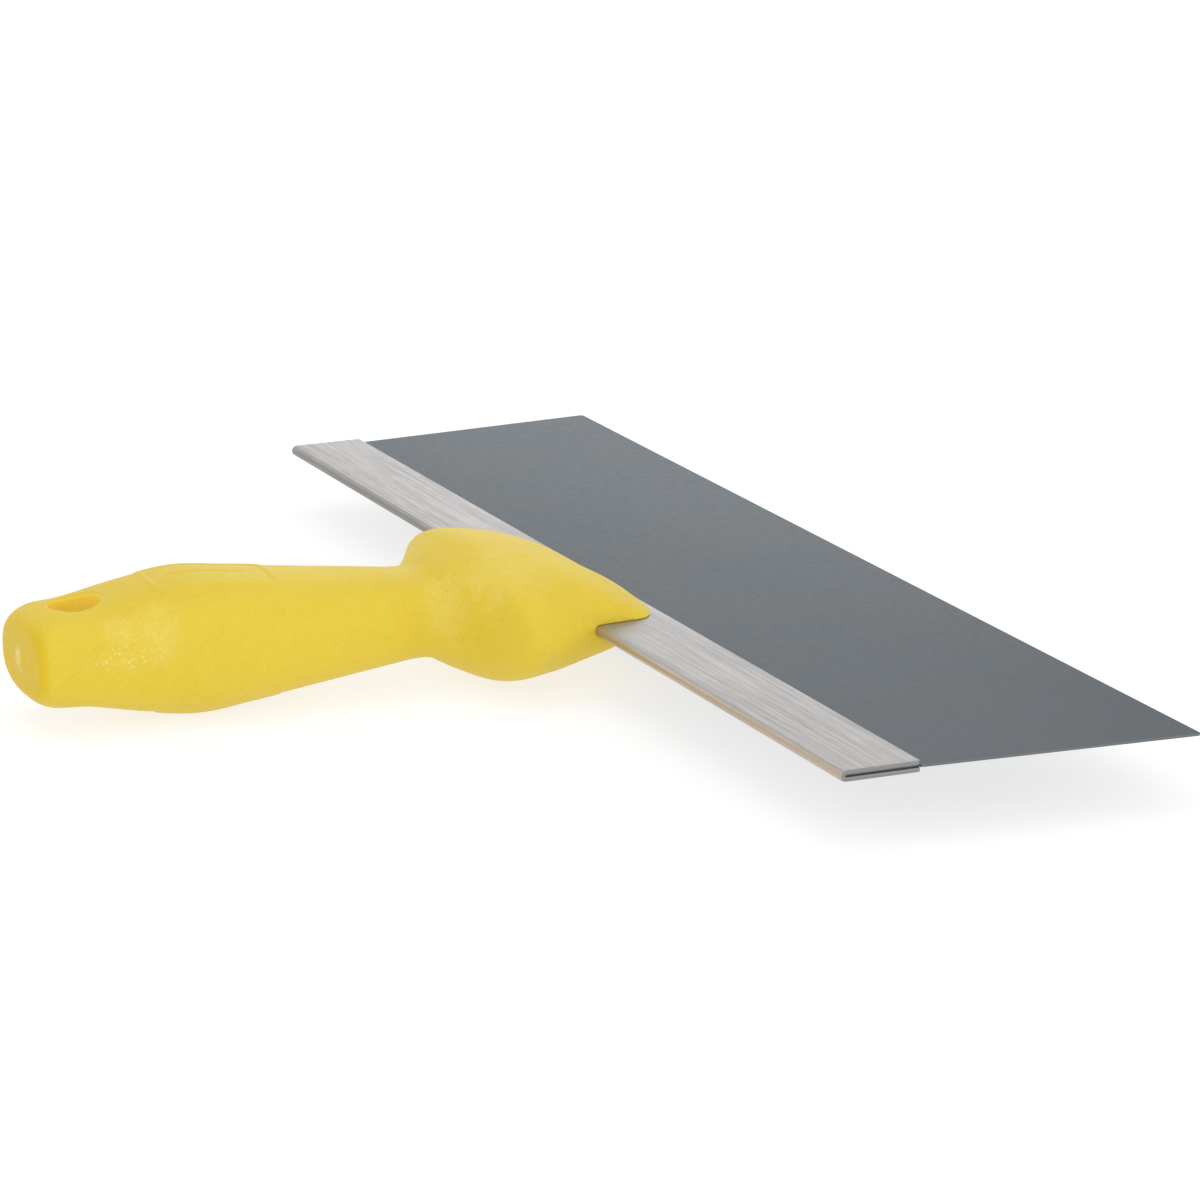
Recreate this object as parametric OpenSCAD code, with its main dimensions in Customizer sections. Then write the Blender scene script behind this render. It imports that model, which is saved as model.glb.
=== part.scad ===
// Drywall taping knife: a sheet blade folded into a metal backing channel,
// riveted, and held in a moulded handle. +X runs along the working edge,
// +Y from the handle to the working edge, +Z up. The origin is at the middle
// of the box around the knife, on the surface that it lies on.

/* [Blade] */
// Length of the working edge
blade_edge_w = 304.8; // [254:0.1:355.6]
// From the back of the channel to the working edge
blade_reach = 77.2; // [55:0.1:110]
// How far each end leans out from the channel to the working edge
blade_flare = 3.8; // [0:0.1:8]
// Thickness of the blade sheet
blade_t = 0.5; // [0.3:0.05:0.8]
// Radius of the two front corners
blade_corner_r = 0.8; // [0.2:0.1:3]

/* [Backing channel] */
// Depth of the channel, front to back
channel_d = 17.4; // [15:0.1:20]
// Thickness of each leg of the channel
channel_leg_t = 0.9; // [0.6:0.05:1.2]

/* [Handle] */
// Length of the handle behind the channel
handle_l = 116.4; // [105:0.1:130]
// Width of the palm swell
palm_w = 38.4; // [34:0.2:42]
// Thickness of the palm swell, over the raised panel on each face
palm_t = 29.8; // [26:0.2:33]
// Width of the neck
neck_w = 28; // [24:0.2:32]
// Thickness of the neck
neck_t = 18.4; // [16:0.2:22]
// Width of the head at its shoulders
head_w = 68.8; // [60:0.2:80]
// Thickness of the head at its shoulders
head_t = 28; // [24:0.2:32]
// Width of the two lips that grip the channel
lip_w = 60.4; // [56:0.2:64]
// Height of each lip's front edge above the channel
lip_edge_h = 0.75; // [0.4:0.05:1.2]
// Diameter of the hang hole
hang_hole_d = 11; // [6:0.5:12]
// From the end of the handle to the middle of the hang hole
hang_hole_inset = 12.3; // [11:0.1:16]

/* [Rivets] */
// Distance between neighbouring rivets
rivet_pitch = 20; // [16:0.5:22]
// Diameter of a rivet's shank
rivet_d = 4.8; // [3:0.1:5]
// Diameter of a rivet's heads
rivet_head_d = 8; // [6:0.1:9]
// Thickness of each head
rivet_head_t = 1.2; // [0.8:0.1:1.5]
// Diameter of the holes that the handle's plastic locks into
lock_hole_d = 6; // [4:0.1:6]

/* [Hidden] */

// Working clearance between parts, on the radius or the end
fit = 0.05;
channel_t = 2 * channel_leg_t + blade_t;
channel_l = blade_edge_w - 2 * blade_flare;
// The blade stops short of the fold and of the channel's ends
blade_inset = 0.3;
blade_back_y = channel_leg_t + 0.5;
rivet_y = channel_d / 2;
// Mark left by the mould's gate in the middle of the butt
gate_r = 1.7;
gate_h = 0.4;

// Sections of the handle across its length: place, half width, half
// thickness, and the exponent of the superellipse, from the butt to the lips
function section(y, w, t, e) = [y, w / 2, t / 2, e];
SECTIONS = [
    section(-handle_l, 0.63 * palm_w, 0.4 * palm_t, 2.4),
    section(-0.984 * handle_l, 0.68 * palm_w, 0.565 * palm_t, 2.6),
    section(-0.945 * handle_l, 0.72 * palm_w, 0.69 * palm_t, 2.6),
    section(-0.893 * handle_l, 0.79 * palm_w, 0.7 * palm_t, 2.7),
    section(-0.79 * handle_l, 0.885 * palm_w, 0.88 * palm_t, 2.6),
    section(-0.687 * handle_l, palm_w, palm_t, 2.4),
    section(-0.584 * handle_l, 0.975 * palm_w, 0.905 * palm_t, 2.4),
    section(-0.43 * handle_l, 1.15 * neck_w, 1.24 * neck_t, 2.4),
    section(-36, 1.01 * neck_w, 1.06 * neck_t, 2.4),
    section(-31, neck_w, neck_t, 2.4),
    section(-27, 1.14 * neck_w, 1.02 * neck_t, 2.3),
    section(-22, 1.61 * neck_w, 1.28 * neck_t, 2.4),
    section(-16, 0.99 * head_w, head_t, 2.2),
    section(-8, head_w, 0.955 * head_t, 2.2),
    section(0, 1.045 * lip_w, 0.79 * head_t, 2.4),
    section(0.46 * channel_d, lip_w, 0.52 * head_t, 2.7),
    section(0.78 * channel_d, 0.99 * lip_w, 0.25 * head_t, 2.5),
    section(0.92 * channel_d, 0.85 * lip_w, channel_t + 3.2 * lip_edge_h, 2.4),
    section(channel_d, 0.6 * lip_w, channel_t + 2 * lip_edge_h, 2.4)
];
RINGS_PER_SECTION = 4;
RING_POINTS = 48;

// Slope of the sections at one of them, from its neighbours
function slope(i) =
    let (a = max(i - 1, 0), b = min(i + 1, len(SECTIONS) - 1))
    (SECTIONS[b] - SECTIONS[a]) / (SECTIONS[b][0] - SECTIONS[a][0]);

// The section at a fraction u of the way from one section to the next
function blend(i, u) =
    let (h = SECTIONS[i + 1][0] - SECTIONS[i][0])
    (2 * pow(u, 3) - 3 * pow(u, 2) + 1) * SECTIONS[i]
    + (pow(u, 3) - 2 * pow(u, 2) + u) * h * slope(i)
    + (3 * pow(u, 2) - 2 * pow(u, 3)) * SECTIONS[i + 1]
    + (pow(u, 3) - pow(u, 2)) * h * slope(i + 1);

function signed_pow(v, p) = sign(v) * pow(abs(v), p);

// The points of one section's superellipse
function ring(s) = [
    for (k = [0 : RING_POINTS - 1])
        let (a = 360 * k / RING_POINTS)
        [s[1] * signed_pow(cos(a), 2 / s[3]), s[0], s[2] * signed_pow(sin(a), 2 / s[3])]
];

LAST = len(SECTIONS) - 1;
LOFT = [
    for (i = [0 : LAST - 1])
        for (k = [0 : RINGS_PER_SECTION - 1])
            blend(i, k / RINGS_PER_SECTION),
    SECTIONS[LAST]
];

// Place of the knife's own axis, the middle of the blade sheet at the back
// of the channel, in the object's frame
axis_y = (handle_l + gate_h - blade_reach) / 2;
axis_z = max([for (s = LOFT) s[2]]);

module at_axis() {
    translate([0, axis_y, axis_z]) children();
}

// A solid through all the rings, closed at both ends
module loft_body() {
    n = RING_POINTS;
    last = len(LOFT) - 1;
    points = [for (s = LOFT) each ring(s)];
    sides = [
        for (i = [0 : last - 1])
            for (k = [0 : n - 1])
                [i * n + k, (i + 1) * n + k, (i + 1) * n + (k + 1) % n, i * n + (k + 1) % n]
    ];
    butt = [[for (k = [0 : n - 1]) k]];
    front = [[for (k = [n - 1 : -1 : 0]) last * n + k]];
    polyhedron(points, concat(sides, butt, front), convexity = 4);
}

// Outline of a bar of thickness t with a round back edge, from y0 to y1
module bar_outline(t, y0, y1) {
    translate([y0 + t / 2, 0]) circle(d = t, $fn = 32);
    translate([y0 + t / 2, -t / 2]) square([y1 - y0 - t / 2, t]);
}

// An outline drawn across the knife, Y to the right and Z up, swept along X
module along_x(l) {
    translate([-l / 2, 0, 0])
        rotate([90, 0, 90])
            linear_extrude(l) children();
}

module across_channel(x, d, h) {
    translate([x, rivet_y, -h / 2]) cylinder(d = d, h = h, $fn = 48);
}

module rivet_holes(d, h) {
    for (i = [-1 : 1]) across_channel(i * rivet_pitch, d, h);
}

module lock_holes(d, h) {
    for (i = [-1, 1]) across_channel(i * rivet_pitch / 2, d, h);
}

module handle() {
    color("gold") at_axis() {
        difference() {
            loft_body();
            along_x(channel_l) bar_outline(channel_t, 0, channel_d + 1);
            rivet_holes(rivet_head_d + 2 * fit, channel_t + 2 * (rivet_head_t + fit));
            translate([0, hang_hole_inset - handle_l, -palm_t])
                cylinder(d = hang_hole_d, h = 2 * palm_t, $fn = 64);
        }
        lock_holes(lock_hole_d - 2 * fit, channel_t + 1);
        translate([0, 0.01 - handle_l, 0])
            rotate([90, 0, 0])
                cylinder(r1 = gate_r, r2 = gate_r / 2, h = gate_h + 0.01, $fn = 32);
    }
}

module backing_channel() {
    color("silver") at_axis() {
        difference() {
            along_x(channel_l) difference() {
                bar_outline(channel_t, 0, channel_d);
                bar_outline(blade_t, channel_leg_t, channel_d + 1);
            }
            rivet_holes(rivet_d + 2 * fit, channel_t + 1);
            lock_holes(lock_hole_d, channel_t + 1);
        }
    }
}

// Half of the blade's outline, from its back corner round its end to the
// front corner, whose arc meets the leaning end and the working edge
function blade_half() =
    let (
        back_x = channel_l / 2 - blade_inset,
        lean = atan(blade_flare / (blade_reach - channel_d)),
        r = blade_corner_r,
        arc_x = blade_edge_w / 2 - r * (1 + sin(lean)) / cos(lean),
        arc_y = blade_reach - r,
        arc_steps = 6
    )
    concat(
        [[back_x, blade_back_y], [back_x, channel_d], [channel_l / 2, channel_d]],
        [
            for (k = [0 : arc_steps])
                let (a = -lean + (90 + lean) * k / arc_steps)
                [arc_x + r * cos(a), arc_y + r * sin(a)]
        ]
    );

module blade() {
    half = blade_half();
    other_half = [for (k = [len(half) - 1 : -1 : 0]) [-half[k][0], half[k][1]]];
    color("slategray") at_axis() {
        difference() {
            translate([0, 0, -blade_t / 2])
                linear_extrude(blade_t) polygon(concat(half, other_half));
            rivet_holes(rivet_d + 2 * fit, channel_t);
            lock_holes(lock_hole_d, channel_t);
        }
    }
}

// A rivet through the channel and the blade, with a flat head on each side
module rivet(x) {
    color("lightgray") at_axis() {
        across_channel(x, rivet_d, channel_t + rivet_head_t);
        for (side = [-1, 1])
            translate([0, 0, side * (channel_t + rivet_head_t) / 2])
                across_channel(x, rivet_head_d, rivet_head_t);
    }
}

module rivet_left() {
    rivet(-rivet_pitch);
}

module rivet_centre() {
    rivet(0);
}

module rivet_right() {
    rivet(rivet_pitch);
}

handle();
backing_channel();
blade();
rivet_left();
rivet_centre();
rivet_right();
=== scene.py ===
"""Visual model of a drywall taping knife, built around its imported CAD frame.

The knife is a yellow moulded handle whose two lips grip a folded aluminium channel, a blued spring-steel
blade held in that channel, and three rivets hidden under the head. Sizes are in millimetres on the knife's
own axis: X along the working edge, Y from the handle to the working edge, Z up, with zero at the middle of
the channel's back edge.
"""

import logging
import math
from dataclasses import dataclass, field
from enum import Enum
from typing import Iterable, Sequence

import bmesh
import bpy
import numpy as np
from mathutils import Matrix, Vector


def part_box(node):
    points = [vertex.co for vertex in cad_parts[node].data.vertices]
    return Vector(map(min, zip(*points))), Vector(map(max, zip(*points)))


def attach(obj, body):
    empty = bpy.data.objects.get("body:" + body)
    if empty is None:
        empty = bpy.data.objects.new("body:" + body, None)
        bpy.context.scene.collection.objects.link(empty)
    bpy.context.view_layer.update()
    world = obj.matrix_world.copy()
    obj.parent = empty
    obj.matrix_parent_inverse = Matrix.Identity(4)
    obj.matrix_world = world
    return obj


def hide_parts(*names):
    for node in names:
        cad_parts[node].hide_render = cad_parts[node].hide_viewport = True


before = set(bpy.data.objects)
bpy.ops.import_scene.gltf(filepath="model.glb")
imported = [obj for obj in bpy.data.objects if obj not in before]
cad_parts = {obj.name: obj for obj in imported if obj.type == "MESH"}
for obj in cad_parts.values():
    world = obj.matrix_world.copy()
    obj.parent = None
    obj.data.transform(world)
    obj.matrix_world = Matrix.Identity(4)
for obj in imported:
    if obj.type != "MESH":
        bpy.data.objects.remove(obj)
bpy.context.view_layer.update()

log = logging.getLogger("taping_knife")

MM = 0.001
QUARTER = math.pi / 2
FLIP = np.array([1.0, 1.0, -1.0])
WHITE = (1.0, 1.0, 1.0, 1.0)

Colour = tuple[float, float, float]
Place = tuple[float, float, float]
Span = tuple[float, float]
Faces = list[tuple[int, ...]]


# ---------------------------------------------------------------- placing


@dataclass(frozen=True)
class KnifeAxis:
    """Where the knife's own axis lies in the frame, in millimetres."""

    y: float
    z: float

    @classmethod
    def from_frame(cls) -> "KnifeAxis":
        """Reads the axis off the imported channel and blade, to a hundredth of a millimetre.

        Returns:
            The axis, level with the blade and zero at the channel's back.
        """
        channel_low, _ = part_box("backing_channel")
        blade_low, blade_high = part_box("blade")
        return cls(y=round(channel_low.y / MM, 2), z=round((blade_low.z + blade_high.z) / 2 / MM, 2))

    def place(self, points: np.ndarray) -> np.ndarray:
        """Moves points from the knife's axis to the frame.

        Args:
            points: An array of points in millimetres on the knife's axis.

        Returns:
            The same points in metres in the frame.
        """
        return (np.asarray(points, float) + np.array([0.0, self.y, self.z])) * MM

    def point(self, x: float, y: float, z: float) -> Vector:
        """One point of the knife's axis, in metres in the frame."""
        return Vector(self.place(np.array([x, y, z])))


AXIS = KnifeAxis.from_frame()


class Body(Enum):
    """The bodies that a piece can ride on."""

    KNIFE = "root"


class Slot(Enum):
    """The record's material slots."""

    PLASTIC = "handle_plastic"
    CHANNEL = "channel_metal"
    BLADE = "blade_steel"
    RIVET = "rivet_metal"


# ---------------------------------------------------------------- meshes


def srgb(red: int, green: int, blue: int) -> Colour:
    """Turns a colour in 0 to 255 display values into linear light.

    Args:
        red: Red, 0 to 255.
        green: Green, 0 to 255.
        blue: Blue, 0 to 255.

    Returns:
        The linear colour.
    """

    def linear(value: float) -> float:
        """One channel, 0 to 1."""
        return value / 12.92 if value <= 0.04045 else ((value + 0.055) / 1.055) ** 2.4

    return linear(red / 255), linear(green / 255), linear(blue / 255)


def make_object(name: str, points: np.ndarray, faces: Iterable[Sequence[int]]) -> bpy.types.Object:
    """Makes a mesh object from points on the knife's axis, with its place in its mesh.

    Args:
        name: The new object's name.
        points: Points in millimetres on the knife's axis.
        faces: Faces, each a run of point numbers.

    Returns:
        The linked object, with its normals outwards.
    """
    mesh = bpy.data.meshes.new(name)
    mesh.from_pydata([tuple(p) for p in AXIS.place(points)], [], [tuple(f) for f in faces])
    mesh.update()
    piece = bpy.data.objects.new(name, mesh)
    bpy.context.scene.collection.objects.link(piece)
    turn_normals_out(mesh)
    return piece


def turn_normals_out(mesh: bpy.types.Mesh) -> None:
    """Makes every face of a closed mesh point outwards.

    Args:
        mesh: The mesh to change.
    """
    work = bmesh.new()
    work.from_mesh(mesh)
    bmesh.ops.recalc_face_normals(work, faces=work.faces)
    work.to_mesh(mesh)
    work.free()


def smooth(piece: bpy.types.Object, sharp_degrees: float = 35.0) -> None:
    """Shades a piece smooth, but keeps edges sharper than an angle.

    Args:
        piece: The mesh object.
        sharp_degrees: Edges that turn more than this stay sharp.
    """
    mesh = piece.data
    mesh.shade_smooth()
    mesh.set_sharp_from_angle(angle=math.radians(sharp_degrees))


def settle(piece: bpy.types.Object) -> None:
    """Turns a piece's modifiers into plain mesh and removes them.

    Args:
        piece: The object with live modifiers.
    """
    bpy.context.view_layer.update()
    graph = bpy.context.evaluated_depsgraph_get()
    mesh = bpy.data.meshes.new_from_object(piece.evaluated_get(graph), depsgraph=graph)
    piece.modifiers.clear()
    old = piece.data
    piece.data = mesh
    bpy.data.meshes.remove(old)
    mesh.name = piece.name


def discard(tool: bpy.types.Object) -> None:
    """Removes a scratch object and its mesh.

    Args:
        tool: The object that is no longer needed.
    """
    mesh = tool.data
    bpy.data.objects.remove(tool)
    bpy.data.meshes.remove(mesh)


def circle(radius: float, sides: int) -> np.ndarray:
    """Points in X and Y, evenly around a circle about zero."""
    angles = np.arange(sides) * 2 * math.pi / sides
    return radius * np.stack([np.cos(angles), np.sin(angles)], axis=1)


def at_height(ring: np.ndarray, z: float) -> np.ndarray:
    """Lifts points in X and Y to a height."""
    return np.column_stack([ring, np.full(len(ring), z)])


def swept_faces(around: int, rings: int) -> Faces:
    """Faces of a closed shape made of rings of points that follow one another.

    Args:
        around: How many points each ring has.
        rings: How many rings there are.

    Returns:
        The walls between the rings, then a cap on the first ring and one on the last.
    """
    faces: Faces = []
    for start in range(0, (rings - 1) * around, around):
        for k in range(around):
            a, b = start + k, start + (k + 1) % around
            faces.append((a, b, b + around, a + around))
    faces.append(tuple(range(around)))
    faces.append(tuple(range((rings - 1) * around, rings * around)))
    return faces


class Cut(Enum):
    """How a tool shape changes a piece."""

    REMOVE = "DIFFERENCE"
    ADD = "UNION"


@dataclass(frozen=True)
class Peg:
    """An upright cylinder on the knife's axis, used to bore a hole or to fill one."""

    x: float
    y: float
    radius: float
    half_height: float
    sides: int = 48

    def make(self) -> bpy.types.Object:
        """Makes the closed cylinder.

        Returns:
            A scratch object.
        """
        ring = circle(self.radius, self.sides) + np.array([self.x, self.y])
        levels = [at_height(ring, -self.half_height), at_height(ring, self.half_height)]
        return make_object("peg", np.concatenate(levels), swept_faces(self.sides, len(levels)))


def apply_pegs(piece: bpy.types.Object, pegs: Iterable[Peg], cut: Cut) -> None:
    """Bores pegs out of a piece, or joins them to it.

    Args:
        piece: The closed mesh to change.
        pegs: The cylinders.
        cut: Whether they are taken away or added.
    """
    for peg in pegs:
        tool = peg.make()
        modifier = piece.modifiers.new("peg", "BOOLEAN")
        modifier.operation = cut.value
        modifier.solver = "EXACT"
        modifier.object = tool
        settle(piece)
        discard(tool)


# ---------------------------------------------------------------- shared sizes


@dataclass(frozen=True)
class ChannelSize:
    """Sizes of the folded channel that both the metal and the handle's slot follow."""

    half_length: float = 148.6
    depth: float = 17.4
    half_thickness: float = 1.15
    slot_half: float = 0.25
    leg: float = 0.9


@dataclass(frozen=True)
class RivetSize:
    """Sizes of the hidden rivets and of the lock holes between them."""

    pitch: float = 20.0
    shank_radius: float = 2.4
    head_radius: float = 4.0
    head_height: float = 1.2
    lock_radius: float = 3.0
    clearance: float = 0.05
    overlap: float = 0.5

    def rivet_x(self) -> tuple[float, ...]:
        """Places of the rivets along the channel."""
        return -self.pitch, 0.0, self.pitch

    def lock_x(self) -> tuple[float, ...]:
        """Places of the holes that the plastic locks into."""
        return -self.pitch / 2, self.pitch / 2


CHANNEL = ChannelSize()
RIVET = RivetSize()
RIVET_Y = CHANNEL.depth / 2


def fastening_holes(reach: float) -> list[Peg]:
    """The holes through a sheet for the rivets and for the plastic that locks it.

    Args:
        reach: How far the pegs reach above and below the axis.

    Returns:
        The pegs to bore out.
    """
    shank = RIVET.shank_radius + RIVET.clearance
    holes = [Peg(x, RIVET_Y, shank, reach) for x in RIVET.rivet_x()]
    return holes + [Peg(x, RIVET_Y, RIVET.lock_radius, reach) for x in RIVET.lock_x()]


# ---------------------------------------------------------------- handle


@dataclass(frozen=True)
class Section:
    """One superellipse section of the handle: place, half sizes and exponent."""

    y: float
    half_width: float
    half_thickness: float
    squareness: float

    def side_at(self, z: np.ndarray) -> np.ndarray:
        """Half width of the section at heights above the axis."""
        level = np.maximum(1 - (z / self.half_thickness) ** self.squareness, 0.0)
        return self.half_width * level ** (1 / self.squareness)


@dataclass(frozen=True)
class HandleShape:
    """The handle's outer surface, as a rule for its section at any place along it."""

    sections: tuple[Section, ...] = (
        Section(-116.25, 13.5, 9.9, 2.7),
        Section(-110.0, 14.2, 10.35, 2.7),
        Section(-104.0, 15.6, 10.5, 2.9),
        Section(-92.0, 17.0, 13.1, 2.6),
        Section(-80.0, 19.2, 14.65, 2.4),
        Section(-68.0, 18.7, 13.45, 2.4),
        Section(-50.0, 16.1, 11.4, 2.4),
        Section(-36.0, 14.1, 9.8, 2.4),
        Section(-31.0, 14.0, 9.2, 2.4),
        Section(-27.0, 16.0, 9.4, 2.3),
        Section(-22.0, 23.4, 11.8, 2.4),
        Section(-16.0, 34.5, 14.0, 2.2),
        Section(-8.0, 34.3, 13.4, 2.2),
        Section(0.0, 31.8, 11.1, 2.4),
        Section(8.0, 30.8, 7.3, 2.7),
        Section(13.5, 30.2, 3.5, 2.5),
        Section(16.0, 25.4, 2.3, 2.4),
        Section(17.4, 12.5, 1.75, 2.4),
    )
    butt_inset_width: float = 1.5
    butt_round_width: float = 3.0
    butt_inset_thickness: float = 4.4
    butt_round_thickness: float = 6.0
    butt_bow: float = 0.3

    def table(self) -> np.ndarray:
        """The sections as rows of place, half width, half thickness and exponent."""
        return np.array([(s.y, s.half_width, s.half_thickness, s.squareness) for s in self.sections])

    def at(self, places: np.ndarray) -> tuple[np.ndarray, np.ndarray, np.ndarray]:
        """Half width, half thickness and exponent at any places along the handle.

        Args:
            places: Places along the handle, in millimetres.

        Returns:
            Three arrays, one value for each place.
        """
        rows = self.table()
        y = rows[:, 0]
        last = len(y) - 1
        before = np.maximum(np.arange(last + 1) - 1, 0)
        after = np.minimum(np.arange(last + 1) + 1, last)
        slopes = (rows[after, 1:] - rows[before, 1:]) / (y[after] - y[before])[:, None]
        places = np.asarray(places, float)
        i = np.clip(np.searchsorted(y, places, side="right") - 1, 0, last - 1)
        step = (y[i + 1] - y[i])[..., None]
        u = ((places - y[i]) / (y[i + 1] - y[i]))[..., None]
        values = (
            (2 * u**3 - 3 * u**2 + 1) * rows[i, 1:]
            + (u**3 - 2 * u**2 + u) * step * slopes[i]
            + (3 * u**2 - 2 * u**3) * rows[i + 1, 1:]
            + (u**3 - u**2) * step * slopes[i + 1]
        )
        narrowed = self._butt_inset(places, self.butt_inset_width, self.butt_round_width)
        thinned = self._butt_inset(places, self.butt_inset_thickness, self.butt_round_thickness)
        return values[..., 0] - narrowed, values[..., 1] - thinned, values[..., 2]

    def _butt_inset(self, places: np.ndarray, inset: float, length: float) -> np.ndarray:
        """How far the rounded butt pulls the surface in, as a quarter ellipse."""
        v = np.clip((self.butt_y + length - places) / length, 0.0, 1.0)
        return inset * (1 - np.sqrt(1 - v**2))

    @property
    def butt_y(self) -> float:
        """Place of the flat end of the handle."""
        return self.sections[0].y

    @property
    def front_y(self) -> float:
        """Place of the lips' front edges."""
        return self.sections[-1].y

    def bow(self, x: np.ndarray, y: float) -> np.ndarray:
        """How far the bowed butt moves the points of a section forwards.

        Args:
            x: Places across the handle.
            y: The section's place along the handle.

        Returns:
            The shift along the handle at each place.
        """
        fade = max(1 - (y - self.butt_y) / self.butt_round_thickness, 0.0) ** 2
        return self.butt_bow * fade * (x / self.sections[0].half_width) ** 2

    def top(self, x: np.ndarray, y: np.ndarray) -> np.ndarray:
        """Height of the upper surface above the axis.

        Args:
            x: Places across the handle.
            y: Places along the handle.

        Returns:
            The heights, in millimetres.
        """
        width, thickness, square = self.at(y)
        return thickness * np.maximum(1 - np.abs(x / width) ** square, 0.0) ** (1 / square)


@dataclass(frozen=True)
class ReliefPanel:
    """A plain raised frame with round corners on the palm swell, around a low field with one raised bar."""

    y: float = -75.0
    half_length: float = 14.6
    half_width: float = 9.6
    corner: float = 4.0
    rim_width: float = 1.5
    edge_width: float = 0.8
    rim_height: float = 0.24
    field_height: float = -0.08
    bar_half_length: float = 9.0
    bar_half_width: float = 1.3
    bar_height: float = 0.16
    margin: float = 1.0

    def height(self, x: np.ndarray, y: np.ndarray) -> np.ndarray:
        """How far the panel lifts the surface.

        Args:
            x: Places across the handle.
            y: Places along the handle.

        Returns:
            The lift at each place, in millimetres.
        """
        inside = self._inside(x, y, (self.half_width, self.half_length), self.corner)
        bar = self._inside(x, y, (self.bar_half_width, self.bar_half_length), self.bar_half_width)
        outer = self._step(inside / self.edge_width)
        inner = self._step((inside - self.rim_width) / self.edge_width)
        raised = self._step(bar / self.edge_width)
        lift = outer * self.rim_height - inner * (self.rim_height - self.field_height)
        return lift + raised * (self.bar_height - self.field_height)

    def _inside(self, x: np.ndarray, y: np.ndarray, half: Span, corner: float) -> np.ndarray:
        """Distance inwards from the edge of a rectangle with round corners.

        Args:
            x: Places across the handle.
            y: Places along the handle.
            half: The rectangle's half sizes across and along the handle.
            corner: Radius of its corners.

        Returns:
            The distance at each place, below zero outside the rectangle.
        """
        over_x = np.abs(x) - (half[0] - corner)
        over_y = np.abs(y - self.y) - (half[1] - corner)
        outside = np.hypot(np.maximum(over_x, 0.0), np.maximum(over_y, 0.0))
        return corner - outside - np.minimum(np.maximum(over_x, over_y), 0.0)

    @staticmethod
    def _step(value: np.ndarray) -> np.ndarray:
        """A smooth step from 0 to 1."""
        v = np.clip(value, 0.0, 1.0)
        return v * v * (3 - 2 * v)


@dataclass(frozen=True)
class HangHole:
    """The hole through the end of the handle, with a rounded rim and a patch of rings around it."""

    y: float = -104.1
    radius: float = 5.5
    rim: float = 0.9
    patch: float = 8.4
    patch_rings: int = 10
    rim_rings: int = 7
    wall_rings: int = 10


@dataclass(frozen=True)
class GateMark:
    """The small moulding gate on the flat end: a round bump with a dimple on its tip."""

    radius: float = 2.0
    height: float = 0.5
    dimple: float = 0.15
    flat_share: float = 0.2
    tip_share: float = 0.1
    border_rings: int = 8
    dome_rings: int = 7

    def profile(self) -> list[Span]:
        """The bump's rings, from its foot to its tip.

        Returns:
            For each ring, its share of the radius and its height.
        """
        rings = []
        for turn in np.linspace(0, QUARTER, self.dome_rings + 1)[1:]:
            share = self.flat_share + (1 - self.flat_share) * math.cos(turn)
            rings.append((share, self.height * math.sin(turn)))
        return rings + [(self.tip_share, self.height - self.dimple)]


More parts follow.
